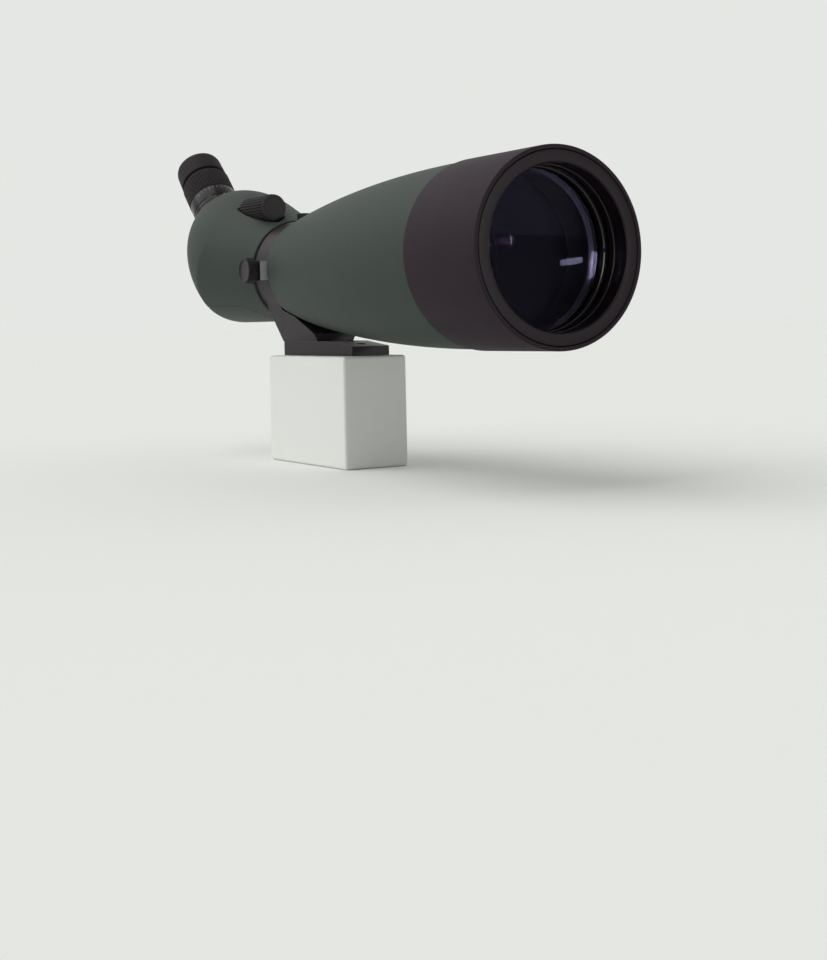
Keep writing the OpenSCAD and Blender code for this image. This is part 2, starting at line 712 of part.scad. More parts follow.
sunshade();
shade_rim();
shade_felt();
objective_cell();
objective_front_lens();
lens_spacer();
objective_rear_lens();
objective_retainer();
objective_seal();
barrel();
front_baffle();
rear_baffle();
housing();
base_cover();
base_screws();
prism();
prism_cage();
prism_clip();
cage_screws();
guide_rods();
focus_carriage();
focus_lens();
focus_lens_ring();
focus_bushing();
focus_shaft();
focus_clip();
focus_knob();
focus_cap();
eyepiece_barrel();
field_stop();
scale_ring();
index_dot();
zoom_guide();
zoom_ring();
zoom_cam();
zoom_pin();
lower_zoom_cell();
lower_zoom_lens();
upper_zoom_cell();
upper_zoom_lens();
eye_cell();
eye_lens();
eye_lens_ring();
eyecup_sleeve();
eyecup();
collar();
collar_liner();
foot_plate();
foot_screws();
lock_screw();
clamp_shoe();
lock_knob();
lock_cap();
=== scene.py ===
import json
import math
import bmesh
import bpy
from mathutils import Matrix, Vector


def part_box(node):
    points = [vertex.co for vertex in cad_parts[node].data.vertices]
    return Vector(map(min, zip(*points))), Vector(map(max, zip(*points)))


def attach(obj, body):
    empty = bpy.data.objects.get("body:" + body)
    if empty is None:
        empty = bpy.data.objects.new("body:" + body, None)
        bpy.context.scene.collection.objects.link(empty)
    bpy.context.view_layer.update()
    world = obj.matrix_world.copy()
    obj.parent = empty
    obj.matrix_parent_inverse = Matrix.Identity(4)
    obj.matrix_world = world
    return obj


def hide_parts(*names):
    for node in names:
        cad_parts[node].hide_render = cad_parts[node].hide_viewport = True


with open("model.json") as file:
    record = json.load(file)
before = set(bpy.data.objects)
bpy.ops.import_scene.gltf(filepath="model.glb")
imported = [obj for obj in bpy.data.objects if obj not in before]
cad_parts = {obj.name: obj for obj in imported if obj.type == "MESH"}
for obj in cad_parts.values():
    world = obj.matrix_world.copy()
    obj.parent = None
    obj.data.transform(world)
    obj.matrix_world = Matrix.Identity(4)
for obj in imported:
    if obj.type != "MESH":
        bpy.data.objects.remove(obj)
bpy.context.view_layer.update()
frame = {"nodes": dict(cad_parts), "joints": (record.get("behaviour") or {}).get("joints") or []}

# Lengths below are in millimetres; MM turns them into the frame's metres
MM = 0.001


def joint_place(name):
    """Where a joint of the frame turns, in millimetres."""
    joint = next(j for j in frame["joints"] if j["name"] == name)
    return Vector(joint["pos_m"]) / MM


def low(node):
    """The corner of the node's box with the least x, y and z, in millimetres."""
    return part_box(node)[0] / MM


def high(node):
    """The opposite corner, in millimetres."""
    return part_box(node)[1] / MM


# ---------------------------------------------------------------- places taken from the frame
# Three sizes that the frame doesn't hold, and that some of the places need
FLANGE_T = 8
COLLAR_LIP = 0.5
COLLAR_GAP = 1.5

LIP_X = high("sunshade").x
SHADE_REAR = low("sunshade").x
SHADE_R = high("sunshade").y
AXIS_Z = (high("sunshade").z + low("sunshade").z) / 2
CELL_FRONT = high("objective_cell").x
FLANGE_REAR = CELL_FRONT - FLANGE_T
COLLAR_X = joint_place("collar_turn").x
COLLAR_REAR = low("collar_liner").x - COLLAR_LIP
COLLAR_LEN = high("collar_liner").x - low("collar_liner").x + 2 * COLLAR_LIP
WAIST_X = COLLAR_REAR + COLLAR_LEN + COLLAR_GAP
HOUSING_X = COLLAR_REAR - COLLAR_GAP
KNOB_Y = joint_place("focus_turn").y
KNOB_Z = joint_place("focus_turn").z - AXIS_Z
KNOB_FRONT = high("focus_cap").x
KNOB_REAR = low("focus_knob").x
FOOT_FRONT = high("foot_plate").x
FOOT_REAR = low("foot_plate").x
FOOT_HALF_W = high("foot_plate").y
FOOT_TOP = high("foot_plate").z
EYE_CROSS_X = joint_place("zoom_turn").x
ROD_R = (high("guide_rods").z - low("guide_rods").z) / 2
ROD_Y = high("guide_rods").y - ROD_R
ROD_Z = high("guide_rods").z - ROD_R
CARRIAGE_FRONT = high("focus_carriage").x

# ---------------------------------------------------------------- sizes shared by several pieces
NOSE_R = 52.6
SHADE_IN_R = 53.5
LENS_R = 47.2
CELL_R = 50.0
BARREL_R = 56.1
WAIST_R = 36.8
NECK_R = 30.25
BARREL_CURVE = 2.05
TUBE_R = 16.0
SCALE_R = 19.3
RING_START = 88.4
RING_END = 109.0
CUP_START = 112.4
CUP_END = 131.0
SEAT_TOP = 70.0
WALL = 3.0
SPIGOT_R = 17
SHAFT_FIT_R = 2.53
TUBE_FIT_R = TUBE_R + 0.03

# Local +Z of each of these places runs along the piece's own axis
OPTICAL = Matrix.Translation((0, 0, AXIS_Z * MM)) @ Matrix.Rotation(math.radians(90), 4, "Y")
EYEPIECE = (Matrix.Translation((EYE_CROSS_X * MM, 0, AXIS_Z * MM))
            @ Matrix.Rotation(math.radians(-45), 4, "Y"))
FOCUS = (Matrix.Translation((0, KNOB_Y * MM, (AXIS_Z + KNOB_Z) * MM))
         @ Matrix.Rotation(math.radians(90), 4, "Y"))
LOCK = (Matrix.Translation((COLLAR_X * MM, 0, AXIS_Z * MM))
        @ Matrix.Rotation(math.radians(90), 4, "X"))
ON_AXIS = Matrix.Translation((0, 0, AXIS_Z * MM))


# ---------------------------------------------------------------- mesh helpers
ON_CENTRE = 0.001
STRAIGHT_DEGREES = 165
MOST_OF_SIDE = 0.45
RIB_STEPS = 8
# Half of a rib's flat top, and its sloped side, as shares of the distance from rib to rib
RIB_TOP = 0.24
RIB_FLANK = 0.2


def make_piece(name, bm):
    """Turns a bmesh into a linked object with clean outward normals and smooth shading."""
    bmesh.ops.recalc_face_normals(bm, faces=bm.faces)
    mesh = bpy.data.meshes.new(name)
    bm.to_mesh(mesh)
    bm.free()
    piece = bpy.data.objects.new(name, mesh)
    bpy.context.scene.collection.objects.link(piece)
    smooth(piece)
    return piece


def smooth(piece, angle=32):
    """Shades smooth, apart from edges sharper than angle."""
    piece.data.shade_smooth()
    piece.data.set_sharp_from_angle(angle=math.radians(angle))


def rounded(corners, radius, steps=4):
    """The closed outline with every real corner off the axis turned into a small curve."""
    result = []
    points = [Vector(c) for c in corners]
    for i, corner in enumerate(points):
        before = points[i - 1] - corner
        after = points[(i + 1) % len(points)] - corner
        straight = before.angle(after) > math.radians(STRAIGHT_DEGREES)
        reach = min(radius, MOST_OF_SIDE * before.length, MOST_OF_SIDE * after.length)
        if straight or corner.y < ON_CENTRE:
            result.append(tuple(corner))
            continue
        enter = corner + before.normalized() * reach
        leave = corner + after.normalized() * reach
        for k in range(steps + 1):
            t = k / steps
            result.append(tuple(enter * (1 - t) ** 2 + corner * 2 * t * (1 - t) + leave * t ** 2))
    return result


def groove_depth(phase):
    """How far down a rib's side is: 0 on the rib's top and 1 in the groove, round the edges."""
    side = max(0.0, min(1.0, (abs(phase - 0.5) - RIB_TOP) / RIB_FLANK))
    return side * side * (3 - 2 * side)


def turned(name, outline, place, steps=160, ribs=None):
    """Turns a closed outline of (station, radius) about place's Z.

    ribs is (count, depth, least radius of the ribbed part), and sets the number of steps."""
    if ribs:
        count, depth, least = ribs
        steps = count * RIB_STEPS
    bm = bmesh.new()
    rings = []
    for station, radius in outline:
        if radius < ON_CENTRE:
            rings.append([bm.verts.new((0, 0, station * MM))])
            continue
        ring = []
        for i in range(steps):
            angle = 2 * math.pi * i / steps
            r = radius
            if ribs and radius > least:
                r = radius - min(depth, radius - least) * groove_depth((i % RIB_STEPS) / RIB_STEPS)
            ring.append(bm.verts.new((r * math.cos(angle) * MM, r * math.sin(angle) * MM, station * MM)))
        rings.append(ring)
    for a, b in zip(rings, rings[1:] + rings[:1]):
        if len(a) == 1 and len(b) == 1:
            continue
        for i in range(steps):
            j = (i + 1) % steps
            corners = [a[i % len(a)], a[j % len(a)], b[j % len(b)], b[i % len(b)]]
            bm.faces.new(list(dict.fromkeys(corners)))
    bm.transform(place)
    return make_piece(name, bm)


def prism(name, outline, low_end, high_end, place=ON_AXIS, width_at=None):
    """Extrudes an outline of (x, z) along Y. width_at(z) gives a half width that changes with z."""
    bm = bmesh.new()
    sides = []
    for sign, end in ((-1, low_end), (1, high_end)):
        row = []
        for x, z in outline:
            y = sign * width_at(z) if width_at else end
            row.append(bm.verts.new((x * MM, y * MM, z * MM)))
        sides.append(row)
        bm.faces.new(row)
    for i in range(len(outline)):
        j = (i + 1) % len(outline)
        bm.faces.new([sides[0][i], sides[0][j], sides[1][j], sides[1][i]])
    bm.transform(place)
    return make_piece(name, bm)


def settle(piece):
    """Applies the piece's modifiers to its mesh."""
    bpy.context.view_layer.update()
    graph = bpy.context.evaluated_depsgraph_get()
    mesh = bpy.data.meshes.new_from_object(piece.evaluated_get(graph))
    piece.modifiers.clear()
    piece.data = mesh


def carve(piece, tool, operation="DIFFERENCE"):
    """Cuts the tool out of the piece, or joins or keeps it, and removes the tool."""
    modifier = piece.modifiers.new("cut", "BOOLEAN")
    modifier.operation = operation
    modifier.solver = "EXACT"
    modifier.object = tool
    settle(piece)
    bpy.data.objects.remove(tool)
    smooth(piece)


def soften(piece, width, segments=3):
    """Rounds every sharp edge by width and keeps the flat faces flat."""
    bevel = piece.modifiers.new("soft edges", "BEVEL")
    bevel.width = width * MM
    bevel.segments = segments
    bevel.limit_method = "ANGLE"
    bevel.angle_limit = math.radians(28)
    bevel.use_clamp_overlap = True
    settle(piece)
    smooth(piece, 50)
    even_normals(piece)


def even_normals(piece):
    """Lets large faces set the shading, so that thin ones beside them don't crease it."""
    normals = piece.modifiers.new("even shading", "WEIGHTED_NORMAL")
    normals.keep_sharp = True


def cylinder(place, start, end, radius, steps=96):
    """A tool for cutting: a plain rod along place's Z."""
    return turned("tool", [(start, 0), (start, radius), (end, radius), (end, 0)], place, steps)


# ---------------------------------------------------------------- materials
SPECK_MM = 2.6
DUST_MM = 9
DUST_ROUGH = 0.012
# How far in from an edge the lighter band reaches; the band is partly rubbed coat and partly painted
# highlight
WEAR_AND_HIGHLIGHT_REACH = 0.5
ROUGH_SPREAD = 0.07


def node_maker(tree):
    """Makes a function that adds a node and sets its properties and inputs."""
    def add(kind, properties=None, **inputs):
        node = tree.nodes.new(kind)
        for key, value in (properties or {}).items():
            setattr(node, key, value)
        for key, value in inputs.items():
            socket = node.inputs[key.replace("_", " ")]
            if isinstance(value, bpy.types.NodeSocket):
                tree.links.new(value, socket)
            else:
                socket.default_value = value
        return node
    return add


def new_material(name):
    """A new material, its shader, and a function that adds nodes to it."""
    material = bpy.data.materials.new(name)
    material.use_nodes = True
    tree = material.node_tree
    return material, tree.nodes["Principled BSDF"], node_maker(tree)


def noise(add, size_mm, detail, roughness):
    """Random values from 0 to 1 over the piece, in patches of about size_mm."""
    where = add("ShaderNodeTexCoord").outputs["Object"]
    return add("ShaderNodeTexNoise", Vector=where, Scale=1 / (size_mm * MM), Detail=detail,
               Roughness=roughness).outputs["Fac"]


def tinted(color, factor):
    """A lighter or darker copy of a colour, with its alpha added."""
    return (*[min(1, c * factor) for c in color], 1)


def mix(add, kind, factor, a, b):
    """Blends two values or two colours, and gives back the result's socket."""
    node = add("ShaderNodeMix", {"data_type": kind})
    sockets = [i for i in node.inputs if i.enabled]
    for socket, value in zip(sockets, (factor, a, b)):
        if isinstance(value, bpy.types.NodeSocket):
            node.id_data.links.new(value, socket)
        else:
            socket.default_value = value
    return next(o for o in node.outputs if o.enabled)


def edge_wear_and_highlight(add, speck, amount):
    """How much lighter the edges are: partly the coat rubbed off and partly a painted highlight, only along
    real edges and broken up by specks.
    """
    edge = add("ShaderNodeBevel", {"samples": 4}, Radius=WEAR_AND_HIGHLIGHT_REACH * MM).outputs["Normal"]
    face = add("ShaderNodeNewGeometry").outputs["Normal"]
    along = add("ShaderNodeVectorMath", {"operation": "DOT_PRODUCT"})
    along.id_data.links.new(edge, along.inputs[0])
    along.id_data.links.new(face, along.inputs[1])
    edge_band = add("ShaderNodeMapRange", Value=along.outputs["Value"], From_Min=0.99, From_Max=0.86)
    broken = add("ShaderNodeMapRange", Value=speck, From_Min=0.42, From_Max=0.62, To_Max=amount)
    both = add("ShaderNodeMath", {"operation": "MULTIPLY"})
    both.id_data.links.new(edge_band.outputs["Result"], both.inputs[0])
    both.id_data.links.new(broken.outputs["Result"], both.inputs[1])
    return both.outputs["Value"]


def coat_material(name, color, rough, grain_mm=0.5, bump=0.1, vary=0.16, metal=0.0, wear_and_highlight=0.0,
                  wear_and_highlight_color=(0.22, 0.22, 0.22), sheen=0.0, clear=0.0, level=0.5, patch_mm=28):
    """A painted, anodised, moulded or rubber surface with grain, patches of tone, and edges lightened partly
    by wear and partly by a painted highlight.

    vary is how far the tone strays, level the strength of its reflections and clear its lacquer."""
    material, shader, add = new_material(name)
    link = material.node_tree.links.new
    grain = noise(add, grain_mm, 3.0, 0.6)
    patch = noise(add, patch_mm, 4.0, 0.55)
    speck = noise(add, SPECK_MM, 5.0, 0.7)
    mixed = mix(add, "FLOAT", 0.45, patch, speck)
    tone = mix(add, "RGBA", mixed, tinted(color, 1 - vary), tinted(color, 1 + vary))
    # Lighter edges: partly a rubbed coat and partly a painted highlight
    if wear_and_highlight:
        tone = mix(add, "RGBA", edge_wear_and_highlight(add, speck, wear_and_highlight), tone, (*wear_and_highlight_color, 1))
    dull = add("ShaderNodeMapRange", Value=speck, To_Min=max(0.02, rough - ROUGH_SPREAD),
               To_Max=min(1.0, rough + ROUGH_SPREAD)).outputs["Result"]
    relief = add("ShaderNodeBump", Height=grain, Strength=bump, Distance=grain_mm * MM * 0.5)
    link(tone, shader.inputs["Base Color"])
    link(dull, shader.inputs["Roughness"])
    link(relief.outputs["Normal"], shader.inputs["Normal"])
    shader.inputs["Metallic"].default_value = metal
    shader.inputs["Sheen Weight"].default_value = sheen
    shader.inputs["Coat Weight"].default_value = clear
    shader.inputs["Coat Roughness"].default_value = 0.08
    shader.inputs["Specular IOR Level"].default_value = level
    return material


def glass_material(name, color, tint, ior=1.5):
    """Coated optical glass, with a faint film of dust in its roughness.

    An ior below real glass's stands for the coating: it reflects less, but also bends light less."""
    material, shader, add = new_material(name)
    dust = noise(add, DUST_MM, 6.0, 0.7)
    film = add("ShaderNodeMapRange", Value=dust, From_Min=0.5, From_Max=0.8, To_Max=DUST_ROUGH)
    material.node_tree.links.new(film.outputs["Result"], shader.inputs["Roughness"])
    shader.inputs["Base Color"].default_value = (*color, 1)
    shader.inputs["Transmission Weight"].default_value = 1
    shader.inputs["IOR"].default_value = ior
    shader.inputs["Specular Tint"].default_value = (*tint, 1)
    return material


# The edge amounts below lighten the edges: partly a rubbed coat and partly a painted highlight
GREEN = coat_material("green_coat", (0.041, 0.053, 0.045), 0.58, grain_mm=0.42, bump=0.22, vary=0.13,
                      wear_and_highlight=0.35, level=0.15)
CHARCOAL = coat_material("charcoal_coat", (0.021, 0.011, 0.018), 0.6, grain_mm=0.4, bump=0.22, vary=0.16,
                         wear_and_highlight=0.35, level=0.14)
RIM_BLACK = coat_material("rim_black", (0.011, 0.004, 0.009), 0.45, grain_mm=0.35, bump=0.14, vary=0.14,
                          wear_and_highlight=0.5, level=0.15)
INSIDE_BLACK = coat_material("inside_black", (0.003, 0.002, 0.003), 0.8, grain_mm=0.6, bump=0.04, level=0.03)
CELL_BLACK = coat_material("cell_black", (0.007, 0.004, 0.006), 0.3, grain_mm=0.3, bump=0.06, wear_and_highlight=0.5,
                           level=0.4)
COLLAR_GREY = coat_material("collar_grey", (0.020, 0.013, 0.017), 0.42, grain_mm=0.4, bump=0.16, vary=0.12,
                            wear_and_highlight=0.45, wear_and_highlight_color=(0.30, 0.30, 0.31), level=0.2)
# Painted highlight: a light grey for the side lug's front face, standing in for the reflection of a bright
# window on it
LUG_FACE_PAINTED_HIGHLIGHT = coat_material("lug_face_painted_highlight", (0.46, 0.47, 0.50), 0.4, grain_mm=0.3, bump=0.1, vary=0.1,
                         metal=0.3)
# Painted light: a pale grey for the foot's sloped top face, standing in for the light that falls on it from
# the bright room
FOOT_TOP_PAINTED_LIGHT = coat_material("foot_top_painted_light", (0.34, 0.32, 0.33), 0.45, grain_mm=0.3, bump=0.1, vary=0.1,
                         metal=0.2)
RUBBER = coat_material("rubber", (0.019, 0.014, 0.018), 0.7, grain_mm=0.55, bump=0.3, vary=0.22,
                       level=0.2, patch_mm=9)
KNOB_BLACK = coat_material("knob_black", (0.018, 0.013, 0.016), 0.55, grain_mm=0.4, bump=0.16, vary=0.2,
                           wear_and_highlight=0.25, level=0.3, patch_mm=8)
GLOSS_BLACK = coat_material("gloss_black", (0.006, 0.005, 0.006), 0.28, grain_mm=0.9, bump=0.03, vary=0.1,
                            clear=0.06, level=0.2)
SATIN_CAP = coat_material("satin_cap", (0.018, 0.012, 0.015), 0.38, grain_mm=0.3, bump=0.08, metal=0.1,
                          wear_and_highlight=0.5, level=0.3)
STEEL = coat_material("steel", (0.46, 0.46, 0.47), 0.33, grain_mm=0.3, bump=0.06, vary=0.1, metal=1.0)
DARK_STEEL = coat_material("dark_steel", (0.07, 0.07, 0.072), 0.38, grain_mm=0.3, bump=0.08, metal=0.8,
                           wear_and_highlight=0.5)
BRASS = coat_material("brass", (0.52, 0.36, 0.16), 0.36, grain_mm=0.3, bump=0.07, metal=1.0)
FELT = coat_material("felt", (0.010, 0.010, 0.010), 0.95, grain_mm=0.25, bump=0.8, vary=0.3, sheen=0.4,
                     level=0.1)
MARK_WHITE = coat_material("mark_paint", (0.22, 0.22, 0.22), 0.5, grain_mm=0.2, bump=0.1)
RED = coat_material("red_paint", (0.55, 0.03, 0.03), 0.3, grain_mm=0.2, bump=0.1, clear=0.5)
FRONT_GLASS = glass_material("front_glass", (0.86, 0.84, 0.96), (0.90, 0.45, 1.0), ior=1.04)
INNER_GLASS = glass_material("inner_glass", (0.90, 0.86, 0.98), (0.78, 0.80, 1.0), ior=1.24)
PRISM_GLASS = glass_material("prism_glass", (0.92, 0.97, 0.95), (1, 1, 1))


def dress(piece, material, body, slot, *nodes):
    """Gives a new piece its material and body, and lets it stand for its CAD nodes. slot is not used."""
    piece.data.materials.clear()
    piece.data.materials.append(material)
    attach(piece, body)
    if nodes:
        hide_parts(*nodes)


# A face looks inward when its normal's share along the outward direction is below this
FACES_INWARD = -0.2


def line_inside(piece, place, material, start=-1e9, end=1e9):
    """Gives a second material to the faces that look at place's axis between two stations."""
    piece.data.materials.append(material)
    back = place.inverted()
    for face in piece.data.polygons:
        centre = back @ face.center
        normal = back.to_3x3() @ face.normal
        outward = Vector((centre.x, centre.y, 0)).normalized()
        if normal.dot(outward) < FACES_INWARD and start * MM < centre.z < end * MM:
            face.material_index = 1


def paint_faces(piece, material, wanted):
    """Gives a second material to the faces that wanted picks out."""
    piece.data.materials.append(material)
    for face in piece.data.polygons:
        if wanted(face):
            face.material_index = 1


# ---------------------------------------------------------------- sunshade
REAR_LIP_R = 52.95
RIM_SEAT_X = LIP_X - 5


def sunshade():
    """The tube, with the felt's groove near its rear edge and the rim's seat in its mouth."""
    seat_r = SHADE_IN_R + 0.9
    groove_r = SHADE_IN_R + 0.1
    groove_start = SHADE_REAR + 1.5
    groove_end = SHADE_REAR + 4.9
    lip_end = SHADE_REAR + 6.5
    outline = rounded([
        (SHADE_REAR, REAR_LIP_R), (SHADE_REAR, SHADE_R), (LIP_X, SHADE_R), (LIP_X, seat_r),
        (RIM_SEAT_X, seat_r), (RIM_SEAT_X, SHADE_IN_R), (lip_end, SHADE_IN_R), (lip_end, REAR_LIP_R),
        (groove_end, REAR_LIP_R), (groove_end, groove_r), (groove_start, groove_r),
        (groove_start, REAR_LIP_R)
    ], 1.1, 5)
    piece = turned("sunshade_tube", outline, OPTICAL, 192)
    dress(piece, CHARCOAL, "shade", "sunshade", "sunshade")
    line_inside(piece, OPTICAL, INSIDE_BLACK, SHADE_REAR, LIP_X - 6)


def sunshade_rim():
    """The broad front face, and the stepped wall that leads in to the lens."""
    face_x = LIP_X - 0.6
    inner = LENS_R - 0.4
    outer = SHADE_IN_R + 0.5
    skirt_x = LIP_X - 16.5
    skirt_r = LENS_R + 1.6
    step_r = inner + 0.5
    step_start = LIP_X - 12.4
    step_end = LIP_X - 7.2
    outline = rounded([
        (face_x, inner + 0.7), (face_x, outer), (RIM_SEAT_X, outer), (RIM_SEAT_X, skirt_r),
        (skirt_x, skirt_r), (skirt_x, inner - 0.1), (step_start, inner - 0.1), (step_start, step_r),
        (step_end, step_r), (step_end, inner), (face_x - 0.8, inner)
    ], 0.35, 4)
    piece = turned("sunshade_rim", outline, OPTICAL, 192)
    dress(piece, RIM_BLACK, "shade", "sunshade", "shade_rim")
    line_inside(piece, OPTICAL, CELL_BLACK, LIP_X - 17, LIP_X - 1.2)


# ---------------------------------------------------------------- objective
LENS_STEPS = 28


def sag(r, curve):
    """Depth of a sphere's cap at radius r, with curve's sign."""
    return math.copysign(abs(curve) - math.sqrt(curve * curve - r * r), curve)


def lens(name, rim_start, rim_end, radius, curve_end, curve_start, place, material, node):
    """A lens with two true spherical faces and a ground rim.

    curve_end and curve_start are the faces' radii: above 0 bulges out, and below 0 is hollow."""
    outline = []
    for i in range(LENS_STEPS + 1):
        q = radius * i / LENS_STEPS
        outline.append((rim_end + sag(radius, curve_end) - sag(q, curve_end), q))
    for i in range(LENS_STEPS, -1, -1):
        q = radius * i / LENS_STEPS
        outline.append((rim_start - sag(radius, curve_start) + sag(q, curve_start), q))
    piece = turned(name, outline, place, 144)
    dress(piece, material, "scope", "coated_glass", node)


def visible_lenses():
    """The two objective lenses and the eye lens. The others keep their CAD meshes."""
    lens("front_lens", CELL_FRONT - 7, CELL_FRONT - 4, LENS_R, 260, 260, OPTICAL, FRONT_GLASS,
         "objective_front_lens")
    lens("second_lens", CELL_FRONT - 15.95, CELL_FRONT - 7.6, LENS_R, -255, 900, OPTICAL, INNER_GLASS,
         "objective_rear_lens")
    lens("eye_lens_glass", 110.95, 113.3, 12.5, 34, 60, EYEPIECE, FRONT_GLASS, "eye_lens")


def objective_retainer():
    """The threaded ring that holds the lens, with two spanner slots."""
    front = CELL_FRONT - 0.5
    back = CELL_FRONT - 3.7
    hole_r = 46
    outer = LENS_R + 0.05
    outline = rounded([
        (back, hole_r), (back, outer), (front, outer), (front, LENS_R - 0.5), (CELL_FRONT - 1.1, hole_r)
    ], 0.2, 3)
    piece = turned("objective_retaining_ring", outline, OPTICAL, 192)
    slot_w = 1.2
    slot_h = 0.9
    slot_r = 46.6
    for side in (-1, 1):
        slot_place = OPTICAL @ Matrix.Translation((0, side * slot_r * MM, (CELL_FRONT - slot_h) * MM))
        tool = prism("tool", [(-slot_w, -slot_h), (slot_w, -slot_h), (slot_w, slot_h), (-slot_w, slot_h)],
                     -slot_w, slot_w, slot_place)
        carve(piece, tool)
    dress(piece, CELL_BLACK, "scope", "black_metal", "objective_retainer")


# ---------------------------------------------------------------- barrel
THINNING_LEN = 250


def taper_r(x):
    """The barrel's outer radius at x: widest behind the sunshade and narrowest at the waist."""
    front = SHADE_REAR - 6
    u = min(max((front - x) / (front - WAIST_X), 0), 1)
    return BARREL_R - (BARREL_R - WAIST_R) * u ** BARREL_CURVE


def inner_r(x):
    """The barrel's inner radius at x. The wall gets a little thicker towards the rear."""
    return taper_r(x) - WALL - (SHADE_REAR - x) / THINNING_LEN


def barrel():
    """The tapered tube, its nose inside the sunshade, and the neck that the collar turns on."""
    start = SHADE_REAR - 1.2
    stations = [start + (WAIST_X + 1 - start) * i / 64 for i in range(65)]
    outer = [(x, taper_r(x)) for x in stations]
    # The inside needs only every fourth station, from the rear forward
    inner = [(stations[i], inner_r(stations[i])) for i in range(52, 6, -4)]
    shoulder_x = SHADE_REAR - 0.6
    flange_r = CELL_R + 1.9
    flange_x = FLANGE_REAR - 2.2
    cell_fit_r = CELL_R + 0.03
    ledge_x = FLANGE_REAR - 29
    ledge_r = CELL_R - 1
    neck_end = HOUSING_X - 12
    neck_in_r = NECK_R - 4
    outline = [(FLANGE_REAR, flange_r), (FLANGE_REAR, NOSE_R), (shoulder_x, NOSE_R),
               (shoulder_x, BARREL_R - 0.9), (SHADE_REAR - 0.75, BARREL_R - 0.3)]
    outline += outer
    outline += [(WAIST_X + 0.5, WAIST_R - 0.15), (WAIST_X + 0.1, WAIST_R - 0.6), (WAIST_X, WAIST_R - 1.2),
                (WAIST_X, NECK_R), (neck_end, NECK_R), (neck_end, neck_in_r), (WAIST_X + 5, neck_in_r)]
    outline += inner
    outline += [(SHADE_REAR - 4, ledge_r), (ledge_x, ledge_r), (ledge_x, cell_fit_r),
                (flange_x, cell_fit_r), (flange_x, flange_r)]
    piece = turned("barrel_tube", outline, OPTICAL, 192)
    dress(piece, GREEN, "scope", "green_body", "barrel")
    line_inside(piece, OPTICAL, INSIDE_BLACK)


# ---------------------------------------------------------------- housing
EGG_CENTRE = Vector((-159, 0, 8))
EGG_R = 50.4
EGG_REAR = 77.4
EGG_FRONT = 20.0
EGG_LEAN_DEGREES = 32
EGG_ROWS = 60
AROUND = 120
ALL_ROUND = [2 * math.pi * k / AROUND for k in range(AROUND)]
RIM_R = 37.5
RIM_EDGE = 0.6
FLOOR_Z = -36.0
SEAM_Z = -23.8
SEAM_BEND_X = -126.0
SEAM_FRONT_X = -93.0
BASE_SCREW_X = -106
BASE_SCREW_Y = 8
POCKET_R = 11.0
POCKET_X = KNOB_REAR - 1.2
POCKET_WALL = 2.4
BUSHING_FIT_R = 3.13
SEAT_R = 21
ROOM_FRONT = HOUSING_X - 8
ROD_ROOM_R = 3.6
TONGUE_INSET = 1.2


def egg_points(inset):
    """Rings of points on the egg, from its short end to its long end."""
    lean = Matrix.Translation(EGG_CENTRE) @ Matrix.Rotation(math.radians(90 + EGG_LEAN_DEGREES), 4, "Y")
    points = []
    for i in range(1, EGG_ROWS):
        down = math.pi * i / EGG_ROWS
        length = EGG_FRONT if down < math.pi / 2 else EGG_REAR
        r = (EGG_R - inset) * math.sin(down)
        along = (length - inset) * math.cos(down)
        points += [lean @ Vector((r * math.cos(turn), r * math.sin(turn), along)) for turn in ALL_ROUND]
    return points


def rim_points(inset, front_x):
    """Two rings of points on the round front rim, which make its small sloped edge."""
    r = RIM_R - inset
    points = []
    for turn in ALL_ROUND:
        for x, q in ((front_x - RIM_EDGE, r), (front_x, r - RIM_EDGE)):
            points.append((x, q * math.cos(turn), q * math.sin(turn)))
    return points


def housing_form(name, inset, front_x):
    """The egg drawn out to the round front rim, as one convex skin, cut flat underneath."""
    bm = bmesh.new()
    for point in egg_points(inset) + rim_points(inset, front_x):
        bm.verts.new(point)
    skin = bmesh.ops.convex_hull(bm, input=bm.verts)
    loose = [v for v in skin["geom_interior"] if isinstance(v, bmesh.types.BMVert)]
    bmesh.ops.delete(bm, geom=loose, context="VERTS")
    cut = bmesh.ops.bisect_plane(bm, geom=bm.verts[:] + bm.edges[:] + bm.faces[:], clear_inner=True,
                                 plane_co=(0, 0, FLOOR_Z + inset), plane_no=(0, 0, 1))
    rim = [e for e in cut["geom_cut"] if isinstance(e, bmesh.types.BMEdge)]
    bmesh.ops.contextual_create(bm, geom=rim)
    bmesh.ops.dissolve_degenerate(bm, dist=0.001, edges=bm.edges[:])
    bm.transform(ON_AXIS @ Matrix.Scale(MM, 4))
    return make_piece(name, bm)


def seam_region(drop):
    """The space under the base cover's seam, lowered by drop."""
    top = SEAM_Z - drop
    rear = -250
    bottom = -70
    half_w = 80
    side = [(rear, top), (SEAM_BEND_X, top), (SEAM_FRONT_X, FLOOR_Z - drop), (SEAM_FRONT_X, bottom),
            (rear, bottom)]
    return prism("tool_seam", side, -half_w, half_w)


def room_inside():
    """The hollow of the housing, without the knob's pocket and the eyepiece's seat."""
    room = housing_form("tool_room", WALL, ROOM_FRONT)
    carve(room, cylinder(FOCUS, POCKET_X - POCKET_WALL, HOUSING_X, POCKET_R + 2))
    carve(room, cylinder(EYEPIECE, 54, SEAT_TOP, SEAT_R + 0.2))
    return room


